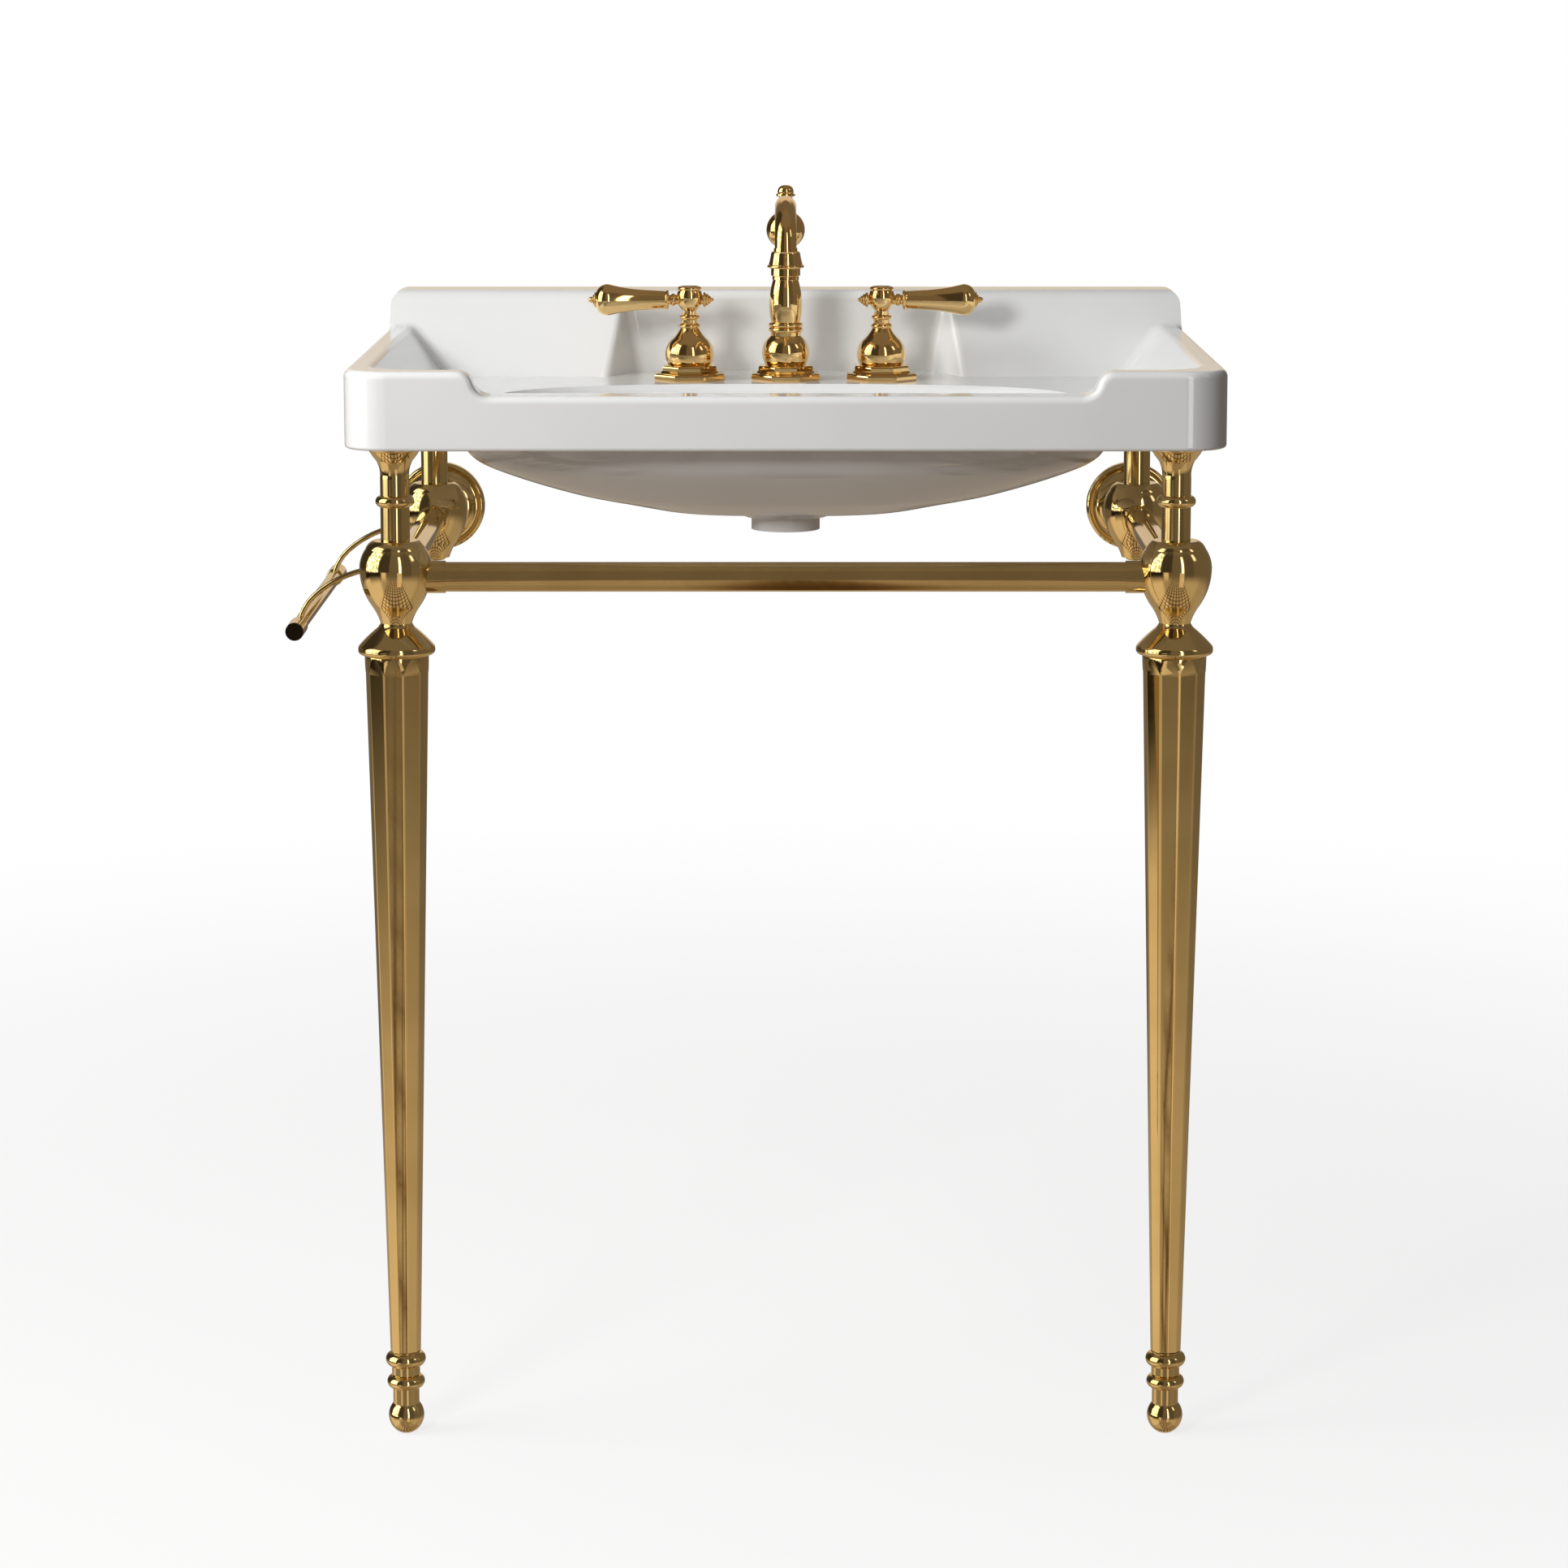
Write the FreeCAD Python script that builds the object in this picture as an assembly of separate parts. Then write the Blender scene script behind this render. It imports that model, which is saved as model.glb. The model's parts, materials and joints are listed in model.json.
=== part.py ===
import FreeCAD, Part

import math
import os

V = FreeCAD.Vector

# Console sink on two turned front legs, hung on a wall.  Millimetres.
# X points right, Y towards the wall (the wall is the plane Y = 0), Z up.
# Heights below are above the floor; every solid is lowered by ORIGIN_HEIGHT when it is written,
# so that the origin is the centre of the basin's flat back.

# Basin
BASIN_WIDTH = 720.0
BASIN_DEPTH = 530.0
UNDERSIDE = 835.5
DECK = 857.0
DIP_RIM = 880.0
SIDE_RIM = 900.0
SPLASH_TOP = 931.0
FRONT_CORNER_R = 36.0
BACK_CORNER_R = 4.0
SPLASH_CORNER_R = 12.0
TRAY_HALF = 305.0
TRAY_TOP_HALF = 341.0
TRAY_FRONT = 48.0
TRAY_TOP_FRONT = 26.0
TRAY_CORNER_R = 35.0
SPLASH_FOOT = 427.0
SPLASH_LEAN = 53.0 / 68.0
CLEAR = 10.0
SPLASH_TOP_R = 20.0
SPLASH_EDGE = 485.0
RECESS_HALF = 134.0
RECESS_TOP_HALF = 146.0
RECESS_SPREAD = 26.0
DIP_HALF = 240.0
HORN_HALF = 266.0
OUTER_ROUND = 6.0
INNER_ROUND = 7.0
REAR_ROUND = 12.0
RECESS_ROUND = 10.0
RECESS_LIP_ROUND = 8.0
BASE_ROUND = 3.0

# Bowl: half widths and half depths of its round-cornered sections, by height
BOWL_CENTRE = 211.0
BOWL_OUTER = [
    (838.0, 279.0, 172.0), (822.0, 274.0, 167.0), (811.5, 266.0, 159.0), (803.0, 250.0, 146.0),
    (795.0, 229.0, 131.0), (786.5, 203.0, 114.0), (777.5, 170.0, 94.0), (770.0, 133.0, 72.0),
    (762.5, 83.0, 45.0), (757.5, 34.0, 27.0),
]
BOWL_INNER = [
    (862.0, 262.0, 155.0), (856.0, 253.0, 146.0), (850.0, 248.5, 141.5), (838.0, 248.0, 141.0),
    (826.0, 249.0, 141.0), (817.0, 242.0, 134.0), (808.0, 223.0, 121.0), (799.0, 198.0, 104.0),
    (789.0, 162.0, 84.0), (781.0, 120.0, 63.0), (774.5, 76.0, 42.0), (769.5, 34.0, 31.0),
]
BOWL_POWER = 2.75
SECTION_POINTS = 32
DRAIN_R = 22.5
DRAIN_REBATE_R = 33.0
DRAIN_REBATE = 766.0
HUB_R = 29.3
HUB_BOTTOM = 746.5

# Wall fixing of the basin
WALL_BOLT_X = 140.0
WALL_BOLT_HEIGHT = 905.0
WALL_BOLT_R = 7.0
WALL_BOLT_DEPTH = 34.0

# Legs and rails
LEG_X = 320.0
LEG_DEPTH = 39.5
REAR_DEPTH = 449.0
RAIL_HEIGHT = 728.0
RAIL_R = 12.2
TUBE_WALL = 1.5
SLEEVE_R = 13.35
SLEEVE_REACH = 40.7
SLIDE_GAP = 0.05
SOCKET_START = 18.0
ROD_R = 4.0
ROD_TOP = 848.0
LEG_ROD_BOTTOM = 24.0
FOOT_TOP = 70.5
SHAFT_TOP = 664.0
SHAFT_R = (13.0, 26.4)
SHAFT_FACETS = 10
FACET_FLARE = 15.5
FACET_TURN = {"left": -2.0, "right": -13.0}
SKIRT_TOP = 690.0
NECK_R = 12.9
URN_TOP = 758.3
COLUMN_TOP = 809.5
REAR_CAP_BOTTOM = 687.5

# Wall flanges behind the rear fittings
FLANGE_R = 40.3
FLANGE_DEPTH = 16.0
PLATE_R = 34.0
PLATE_THICK = 4.0
PLATE_SCREW_PCD = 52.0
PLATE_SCREW_R = 2.75
PLATE_SCREWS = 3
PLATE_SPIGOT = 24.0

# Towel bar on the left side
TOWEL_X = 405.8
TOWEL_HEIGHT = 680.0
TOWEL_R = 6.0
TOWEL_CAP_R = 7.6
TOWEL_CAP_THICK = 3.0
CAP_SLEEVE = 33.0
TOWEL_FRONT = 57.0
TOWEL_BACK = 417.0
ARM_R = 2.3
ARM_DEPTHS = (94.0, 381.0)
ARM_START_X = 332.4
ARM_BEND = (90.0, 42.0)
ARM_DROP = (40.9, 78.0)

# Taps and spout on the deck
TAP_X = 86.0
TAP_DEPTH = 403.0
TAP_HOLE_R = 14.0
SHANK_R = 10.6
TAIL_R = 10.4
SHANK_BOTTOM = 795.0
SHANK_BORE_R = 6.0
WASHER = (18.0, 3.0)
NUT = (15.0, 8.0)
OCTAGON = 8
TAP_FLANGE = (31.2, 24.0)
SPOUT_FLANGE = (30.4, 24.2)
FLANGE_EDGE = 861.0
FLANGE_ROUND = 2.2
STEP_ROUND = 1.8
FLANGE_SLOPE_TOP = 865.4
STEP_TOP = 870.0
SHANK_TOP = 884.0
SPINDLE_R = 4.0
SPINDLE_BOTTOM = 866.0
SPINDLE_TOP = 933.0
NECK_TOP = 918.4
HUB_GAP = 0.3
LEVER_HEIGHT = 928.3
LEVER_HUB_R = 11.3
LEVER_HUB_CUT = 9.3
LEVER_HUB_TOP = (10.3, 936.4)
LEVER_SOCKET_R = 3.0

# Spout
SPOUT_PIN_R = 6.0
SPOUT_PIN_TOP = 990.0
SPOUT_WATER_R = 4.0
BARREL_FOOT = 908.2
BARREL_TOP = 946.5
COLLAR_TOP = 972.0
BALL_HEIGHT = 991.0
BALL_R = 17.2
BALL_NECK_R = 8.5
FINIAL_NECK_R = 6.0
FINIAL_FOOT = 1020.4
TUBE_R = 9.4
TUBE_BORE_R = 8.0
TUBE_START = 7.0
TUBE_RISE = 34.0
TUBE_BENDS = [(107.0, 34.0), (90.0, 30.0), (24.0, 60.0)]
AERATOR = (10.2, 4.0)

ORIGIN_HEIGHT = 0.5 * (UNDERSIDE + SPLASH_TOP)
SIDES = {"left": -1.0, "right": 1.0}


# ---- small tools ----------------------------------------------------------

def depth(distance):
    """Y of a point that lies this far behind the basin's front face."""
    return distance - BASIN_DEPTH


def line(start, end):
    return Part.LineSegment(start, end).toShape()


def arc(start, middle, end):
    return Part.Arc(start, middle, end).toShape()


def turned(steps, base=(0.0, 0.0, 0.0), along=(0.0, 0.0, 1.0), bore=0.0):
    """Solid turned about an axis.

    A step is (radius, distance along the axis), reached by a straight run, or
    (radius, distance, middle radius, middle distance), reached by an arc.
    """
    edges = []
    first = here = V(steps[0][0], 0, steps[0][1])
    for step in steps[1:]:
        there = V(step[0], 0, step[1])
        if len(step) == 4:
            edges.append(arc(here, V(step[2], 0, step[3]), there))
        else:
            edges.append(line(here, there))
        here = there
    way_back = [here, V(bore, 0, here.z), V(bore, 0, first.z), first]
    for start, end in zip(way_back, way_back[1:]):
        if start.distanceToPoint(end) > 1e-6:
            edges.append(line(start, end))
    solid = Part.Face(Part.Wire(edges)).revolve(V(0, 0, 0), V(0, 0, 1), 360)
    solid.Placement = FreeCAD.Placement(V(*base), FreeCAD.Rotation(V(0, 0, 1), V(*along)))
    return solid


def rod(radius, start, end):
    """Round bar from one point to another."""
    way = V(*end) - V(*start)
    return Part.makeCylinder(radius, way.Length, V(*start), way)


def polygon(sides, inscribed_r, x, y, height, turn=0.0):
    """Regular outline with a flat towards the front."""
    corner_r = inscribed_r / math.cos(math.pi / sides)
    points = []
    for index in range(sides + 1):
        angle = math.radians(turn - 90.0) + (index + 0.5) * 2.0 * math.pi / sides
        points.append(V(x + corner_r * math.cos(angle), y + corner_r * math.sin(angle), height))
    return Part.makePolygon(points)


def stacked(sides, steps, x, y, turn=0.0):
    """Many-sided solid through (inscribed radius, height) steps."""
    wires = [polygon(sides, radius, x, y, height, turn) for radius, height in steps]
    return Part.makeLoft(wires, True, True)


def swept(radius, start, way, bends, side):
    """Round bar along arcs that lie in one upright plane.

    way is the unit vector in which the bar travels, side the one that the arcs turn about,
    and each bend is (radius, angle); the tangents are shared.
    """
    here, heading = V(*start), V(*way)
    edges = []
    for bend_r, angle in bends:
        centre = here + side.cross(heading) * bend_r
        arm = here - centre
        middle = centre + FreeCAD.Rotation(side, 0.5 * angle).multVec(arm)
        there = centre + FreeCAD.Rotation(side, angle).multVec(arm)
        edges.append(arc(here, middle, there))
        heading = FreeCAD.Rotation(side, angle).multVec(heading)
        here = there
    section = Part.Wire(Part.Circle(V(*start), V(*way), radius).toShape())
    return Part.Wire(edges).makePipeShell([section], True, False), here, heading


def outline(half_width, front, back, front_r, back_r, height):
    """Plan outline, front and back given as distances behind the basin's front."""
    low, high = depth(front), depth(back)
    diagonal = 1.0 - math.sqrt(0.5)
    edges = []
    corners = [(-1, low, 1, front_r), (1, low, 1, front_r), (1, high, -1, back_r), (-1, high, -1, back_r)]
    ends = []
    for side, y, inward, radius in corners:
        x = side * half_width
        along_x = V(x - side * radius, y, height)
        along_y = V(x, y + inward * radius, height)
        middle = V(x - side * radius * diagonal, y + inward * radius * diagonal, height)
        pair = (along_y, middle, along_x) if side * inward < 0 else (along_x, middle, along_y)
        ends.append(pair)
    for index, (start, middle, end) in enumerate(ends):
        edges.append(arc(start, middle, end))
        edges.append(line(end, ends[(index + 1) % 4][0]))
    return Part.Wire(edges)


def bowl_section(height, half_width, half_depth):
    """Closed oval outline between a rectangle and an ellipse."""
    points = []
    for index in range(SECTION_POINTS):
        angle = 2.0 * math.pi * index / SECTION_POINTS
        across, along = math.cos(angle), math.sin(angle)
        x = half_width * math.copysign(abs(across) ** (2.0 / BOWL_POWER), across)
        y = half_depth * math.copysign(abs(along) ** (2.0 / BOWL_POWER), along)
        points.append(V(x, depth(BOWL_CENTRE) + y, height))
    curve = Part.BSplineCurve()
    curve.interpolate(points, PeriodicFlag=True)
    return Part.Wire(curve.toShape())


def write(name, shape):
    shape = shape.copy()
    shape.translate(V(0, 0, -ORIGIN_HEIGHT))
    if not shape.isValid():
        print(name, "is not valid")
    shape.exportStep(os.path.join("parts", name + ".step"))


# ---- basin ----------------------------------------------------------------

def lean_at(height):
    """Distance from the front at which the backsplash has this height."""
    return SPLASH_FOOT + SPLASH_LEAN * (height - DECK)


def backsplash(plan):
    """Upright at the back: it leans, its top edge and top corners are round."""
    half = 0.5 * BASIN_WIDTH + CLEAR
    angle = math.atan2(1.0, SPLASH_LEAN)
    top_d = lean_at(SPLASH_TOP) + SPLASH_TOP_R * math.tan(0.5 * angle)

    def point(distance, height):
        return V(-half, depth(distance), height)

    def on_round(turn):
        return point(top_d - SPLASH_TOP_R * math.sin(turn),
                     SPLASH_TOP - SPLASH_TOP_R * (1.0 - math.cos(turn)))

    low, behind = UNDERSIDE + BASE_ROUND + 1.0, BASIN_DEPTH + CLEAR
    corners = [on_round(0.0), point(behind, SPLASH_TOP), point(behind, low), point(SPLASH_FOOT, low),
               point(SPLASH_FOOT, DECK), on_round(angle)]
    edges = [line(start, end) for start, end in zip(corners, corners[1:])]
    edges.append(arc(on_round(angle), on_round(0.5 * angle), on_round(0.0)))
    block = Part.Face(Part.Wire(edges)).extrude(V(2.0 * half, 0, 0))
    tall = Part.Face(plan).extrude(V(0, 0, SPLASH_TOP - UNDERSIDE))
    return block.common(tall).cut(splash_corners())


def tray_outline(half_width, front, radius, height):
    """Outline with two round front corners that runs straight on through the backsplash."""
    low, high = depth(front), depth(BASIN_DEPTH + CLEAR)
    inset = radius * (1.0 - math.sqrt(0.5))
    back = V(-half_width, high, height), V(half_width, high, height)
    edges = [line(*back)]
    sides, fronts = [], []
    for side, end in ((1.0, back[1]), (-1.0, back[0])):
        sides.append(V(side * half_width, low + radius, height))
        fronts.append(V(side * (half_width - radius), low, height))
        edges.append(line(end, sides[-1]))
        edges.append(arc(sides[-1], V(side * (half_width - inset), low + inset, height), fronts[-1]))
    edges.append(line(*fronts))
    return Part.Wire(Part.__sortEdges__(edges))


def tray_space():
    """The sunk deck, wider at the top than at the bottom."""
    low = tray_outline(TRAY_HALF, TRAY_FRONT, TRAY_CORNER_R, DECK)
    high = tray_outline(TRAY_TOP_HALF, TRAY_TOP_FRONT, TRAY_CORNER_R + 4.0, SIDE_RIM)
    return Part.makeLoft([low, high], True, True)


def dip_space():
    """Low middle of the front rim, with an S-shaped rise to each horn."""
    run, rise = 0.5 * (HORN_HALF - DIP_HALF), 0.5 * (SIDE_RIM - DIP_RIM)
    half_turn = math.atan2(rise, run)
    radius = run / math.sin(2.0 * half_turn)
    side, up = radius * math.sin(half_turn), radius * (1.0 - math.cos(half_turn))
    y, over = depth(-CLEAR), SIDE_RIM + CLEAR
    edges = [line(V(-DIP_HALF, y, DIP_RIM), V(DIP_HALF, y, DIP_RIM))]
    for sign in (1.0, -1.0):
        low, high = V(sign * DIP_HALF, y, DIP_RIM), V(sign * HORN_HALF, y, SIDE_RIM)
        middle = V(sign * (DIP_HALF + run), y, DIP_RIM + rise)
        edges.append(arc(low, low + V(sign * side, 0, up), middle))
        edges.append(arc(middle, high - V(sign * side, 0, up), high))
        edges.append(line(high, V(sign * HORN_HALF, y, over)))
    edges.append(line(V(HORN_HALF, y, over), V(-HORN_HALF, y, over)))
    face = Part.Face(Part.Wire(Part.__sortEdges__(edges)))
    return face.extrude(V(0, TRAY_FRONT + 2.0 * CLEAR, 0))


def recess_space():
    """Pocket in the backsplash behind the taps."""
    wires = []
    lean = (RECESS_TOP_HALF - RECESS_HALF) / (SPLASH_TOP - DECK)
    for height in (DECK, SPLASH_TOP + CLEAR):
        half = RECESS_HALF + lean * (height - DECK)
        wide = half + RECESS_SPREAD
        plan = [(-wide, SPLASH_FOOT - 1.0), (wide, SPLASH_FOOT - 1.0), (half, SPLASH_EDGE),
                (-half, SPLASH_EDGE)]
        corners = [V(x, depth(d), height) for x, d in plan]
        wires.append(Part.makePolygon(corners + corners[:1]))
    return Part.makeLoft(wires, True, True)


def splash_corners():
    """What the rounding takes off the two top corners of the backsplash."""
    spoils = []
    half, size = 0.5 * BASIN_WIDTH, SPLASH_CORNER_R
    for side in (-1.0, 1.0):
        y = depth(SPLASH_FOOT)
        tip = V(side * half, y, SPLASH_TOP)
        inner, lower = tip - V(side * size, 0, 0), tip - V(0, 0, size)
        middle = tip - V(side, 0, 1.0) * size * (1.0 - math.sqrt(0.5))
        edges = [arc(inner, middle, lower), line(lower, tip), line(tip, inner)]
        spoils.append(Part.Face(Part.Wire(edges)).extrude(V(0, CLEAR - y, 0)))
    return spoils


def rounded(shape, radius, test):
    """Round the edges that pass a test of their spans in X, distance from the front and height."""
    edges = []
    for edge in shape.Edges:
        box = edge.BoundBox
        x_span = (min(abs(box.XMin), abs(box.XMax)), max(abs(box.XMin), abs(box.XMax)))
        d_span = (box.YMin + BASIN_DEPTH, box.YMax + BASIN_DEPTH)
        if test(x_span, d_span, (box.ZMin, box.ZMax)):
            edges.append(edge)
    return shape.makeFillet(radius, edges)


def is_rim(h):
    return h[0] > DIP_RIM - 0.5 and h[1] < SIDE_RIM + 0.5


def on_outer_rim(x, d, h):
    side = x[0] > 0.5 * BASIN_WIDTH - 0.5
    corner = d[0] < 0.5 and d[1] < FRONT_CORNER_R + 0.5 and x[1] > 0.5 * BASIN_WIDTH - 0.5
    return is_rim(h) and (d[1] < 0.5 or side and h[0] > SIDE_RIM - 0.5 or corner)


def on_inner_rim(x, d, h):
    return is_rim(h) and 20.0 < d[0] < BASIN_DEPTH - CLEAR and x[1] < TRAY_TOP_HALF + 0.5


def on_base(x, d, h):
    return h[1] < UNDERSIDE + 0.5 and d[1] < BASIN_DEPTH - 1.0


def where_rims_end(x, d, h):
    """Where the side rims and the tray's sides run into the backsplash."""
    return (x[0] > TRAY_HALF - 1.0 and x[1] < 0.5 * BASIN_WIDTH - 5.0 and d[0] > SPLASH_FOOT - 5.0
            and d[1] < lean_at(SIDE_RIM) + 5.0 and h[1] > DECK + 5.0 and h[1] < SIDE_RIM + 1.0)


def in_recess(x, d, h):
    """The two upright edges at the back of the recess."""
    return (x[0] > RECESS_HALF - 5.0 and x[1] < RECESS_HALF + 20.0 and d[0] > SPLASH_EDGE - 1.0
            and h[1] - h[0] > 20.0)


def on_recess_lip(x, d, h):
    """The two upright edges where the recess meets the front of the backsplash."""
    return (x[0] > RECESS_TOP_HALF - 1.0 and x[1] < RECESS_HALF + 40.0 and d[0] > SPLASH_FOOT - 5.0
            and d[1] < SPLASH_EDGE and h[1] - h[0] > 20.0)


def top_slab():
    """The basin without its bowl: base, rims and backsplash."""
    plan = outline(0.5 * BASIN_WIDTH, 0.0, BASIN_DEPTH, FRONT_CORNER_R, BACK_CORNER_R, UNDERSIDE)
    slab = Part.Face(plan).extrude(V(0, 0, SIDE_RIM - UNDERSIDE))
    slab = slab.cut([tray_space(), dip_space()])
    slab = rounded(slab, OUTER_ROUND, on_outer_rim)
    slab = rounded(slab, INNER_ROUND, on_inner_rim)
    slab = rounded(slab, BASE_ROUND, on_base)
    slab = slab.fuse(backsplash(plan)).removeSplitter().cut(recess_space())
    slab = rounded(slab, REAR_ROUND, where_rims_end)
    slab = rounded(slab, RECESS_ROUND, in_recess)
    return rounded(slab, RECESS_LIP_ROUND, on_recess_lip)


def basin():
    centre_y, tap_y = depth(BOWL_CENTRE), depth(TAP_DEPTH)
    bowl = Part.makeLoft([bowl_section(*level) for level in BOWL_OUTER], True, False)
    hub = rod(HUB_R, (0, centre_y, HUB_BOTTOM), (0, centre_y, DRAIN_REBATE))
    hollow = Part.makeLoft([bowl_section(*level) for level in BOWL_INNER], True, False)
    spoils = [hollow,
              rod(DRAIN_R, (0, centre_y, HUB_BOTTOM - 1.0), (0, centre_y, DECK)),
              rod(DRAIN_REBATE_R, (0, centre_y, DRAIN_REBATE), (0, centre_y, DECK))]
    for x in (-TAP_X, 0.0, TAP_X):
        spoils.append(rod(TAP_HOLE_R, (x, tap_y, UNDERSIDE - 5.0), (x, tap_y, DECK + 5.0)))
    for x in (-WALL_BOLT_X, WALL_BOLT_X):
        spoils.append(rod(WALL_BOLT_R, (x, -WALL_BOLT_DEPTH, WALL_BOLT_HEIGHT),
                          (x, 1.0, WALL_BOLT_HEIGHT)))
    for x in (-LEG_X, LEG_X):
        for back in (LEG_DEPTH, REAR_DEPTH):
            spoils.append(rod(ROD_R + SLIDE_GAP, (x, depth(back), UNDERSIDE - 1.0),
                              (x, depth(back), ROD_TOP + 1.0)))
    return top_slab().fuse([bowl, hub]).cut(spoils).removeSplitter()


# ---- legs -----------------------------------------------------------------

def leg_foot(x, y):
    """Ball foot with two rings over it; the rod screws in from above."""
    steps = [(6.0, 0.0), (11.0, 25.0, 14.9, 14.0), (11.0, 38.5), (11.0, 49.5, 15.8, 44.0),
             (11.8, 50.5), (11.8, 57.5), (12.2, 69.5, 16.8, 63.6), (12.2, FOOT_TOP)]
    foot = turned(steps, (x, y, 0))
    return foot.cut(rod(ROD_R + SLIDE_GAP, (x, y, LEG_ROD_BOTTOM - 0.5), (x, y, FOOT_TOP + 1.0)))


def leg_shaft(x, y, turn):
    """Long taper cut with flats that run out in points under the skirt."""
    low_r, high_r = SHAFT_R
    round_taper = turned([(low_r, FOOT_TOP), (high_r, SHAFT_TOP)], (x, y, 0))
    flat = math.cos(math.pi / SHAFT_FACETS)
    slope = (high_r - low_r) / (SHAFT_TOP - FOOT_TOP)
    flare = SHAFT_TOP - FACET_FLARE
    steps = [(low_r * flat, FOOT_TOP), ((low_r + slope * (flare - FOOT_TOP)) * flat, flare),
             (high_r + 0.15, SHAFT_TOP)]
    shaft = round_taper.common(stacked(SHAFT_FACETS, steps, x, y, turn))
    return shaft.cut(rod(ROD_R + SLIDE_GAP, (x, y, FOOT_TOP - 1.0), (x, y, SHAFT_TOP + 1.0)))


def leg_skirt(x, y):
    steps = [(28.4, SHAFT_TOP), (31.6, 668.5, 31.2, 665.8), (30.3, 672.0, 31.3, 670.5),
             (17.4, 684.6, 24.0, 678.6), (NECK_R, SKIRT_TOP, 14.3, 687.6)]
    return turned(steps, (x, y, 0), bore=ROD_R + SLIDE_GAP)


def urn(x, y, sockets):
    """Vase-shaped joint that takes the ends of the rails."""
    steps = [(NECK_R, SKIRT_TOP), (19.8, 704.0, 15.9, 697.6), (29.8, 734.0, 26.9, 718.0),
             (24.6, 751.6, 28.5, 743.8), (18.6, URN_TOP, 22.2, 755.6)]
    body = turned(steps, (x, y, 0), bore=ROD_R + SLIDE_GAP)
    spoils = []
    for way_x, way_y in sockets:
        start = (x + way_x * SOCKET_START, y + way_y * SOCKET_START, RAIL_HEIGHT)
        end = (x + way_x * 40.0, y + way_y * 40.0, RAIL_HEIGHT)
        spoils.append(rod(RAIL_R + SLIDE_GAP, start, end))
    return body.cut(spoils)


def leg_column(x, y):
    steps = [(12.0, URN_TOP), (12.0, 785.9), (12.0, 795.5, 16.0, 790.7), (12.0, COLUMN_TOP)]
    return turned(steps, (x, y, 0), bore=ROD_R + SLIDE_GAP)


def leg_cup(x, y):
    steps = [(12.0, COLUMN_TOP), (15.0, 824.2, 12.6, 818.2), (20.6, 832.0, 18.2, 828.3),
             (21.0, UNDERSIDE, 21.5, 833.9)]
    return turned(steps, (x, y, 0), bore=ROD_R + SLIDE_GAP)


def rear_post(x, y):
    return turned([(12.0, URN_TOP), (12.0, UNDERSIDE)], (x, y, 0), bore=ROD_R + SLIDE_GAP)


def rear_end_cap(x, y):
    """Button under the rear urn; it is the nut of the rear rod."""
    steps = [(7.0, REAR_CAP_BOTTOM), (9.6, 689.6, 8.9, 688.2), (9.6, SKIRT_TOP)]
    return turned(steps, (x, y, 0))


def sleeve(urn_body, x, y, way):
    """Short collar where a rail leaves an urn, scribed to the urn."""
    way_x, way_y = way
    start = (x + 12.0 * way_x, y + 12.0 * way_y, RAIL_HEIGHT)
    end = (x + SLEEVE_REACH * way_x, y + SLEEVE_REACH * way_y, RAIL_HEIGHT)
    past = (x + 60.0 * way_x, y + 60.0 * way_y, RAIL_HEIGHT)
    ring = rod(SLEEVE_R, start, end).cut(rod(RAIL_R + SLIDE_GAP, start, past))
    return max(ring.cut(urn_body).Solids, key=lambda solid: solid.Volume)


def rail(start, end):
    return rod(RAIL_R, start, end).cut(rod(RAIL_R - TUBE_WALL, start, end))


def wall_flange(x):
    """Dished cover over the wall plate; its rim rests on the wall."""
    steps = [(FLANGE_R, 0.0), (FLANGE_R, 6.0), (36.5, 9.6, 39.4, 8.7), (31.0, 10.2, 34.0, 9.4),
             (19.5, 12.4, 25.2, 12.5), (16.6, FLANGE_DEPTH)]
    cover = turned(steps, (x, 0, RAIL_HEIGHT), (0, -1, 0), bore=RAIL_R + SLIDE_GAP)
    inside = turned([(36.0, -1.0), (36.0, 6.0), (24.0, 8.6)], (x, 0, RAIL_HEIGHT), (0, -1, 0))
    return cover.cut(inside)


def wall_plate(x):
    """Plate that is screwed to the wall, with a spigot for the wall tube."""
    steps = [(PLATE_R, 0.0), (PLATE_R, PLATE_THICK), (RAIL_R - TUBE_WALL - SLIDE_GAP, PLATE_THICK),
             (RAIL_R - TUBE_WALL - SLIDE_GAP, PLATE_SPIGOT)]
    plate = turned(steps, (x, 0, RAIL_HEIGHT), (0, -1, 0))
    spoils = []
    for index in range(PLATE_SCREWS):
        angle = math.pi * (0.5 + 2.0 * index / PLATE_SCREWS)
        hole_x = x + 0.5 * PLATE_SCREW_PCD * math.cos(angle)
        hole_z = RAIL_HEIGHT + 0.5 * PLATE_SCREW_PCD * math.sin(angle)
        spoils.append(rod(PLATE_SCREW_R, (hole_x, 1.0, hole_z), (hole_x, -PLATE_THICK - 1.0, hole_z)))
    return plate.cut(spoils)


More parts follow.
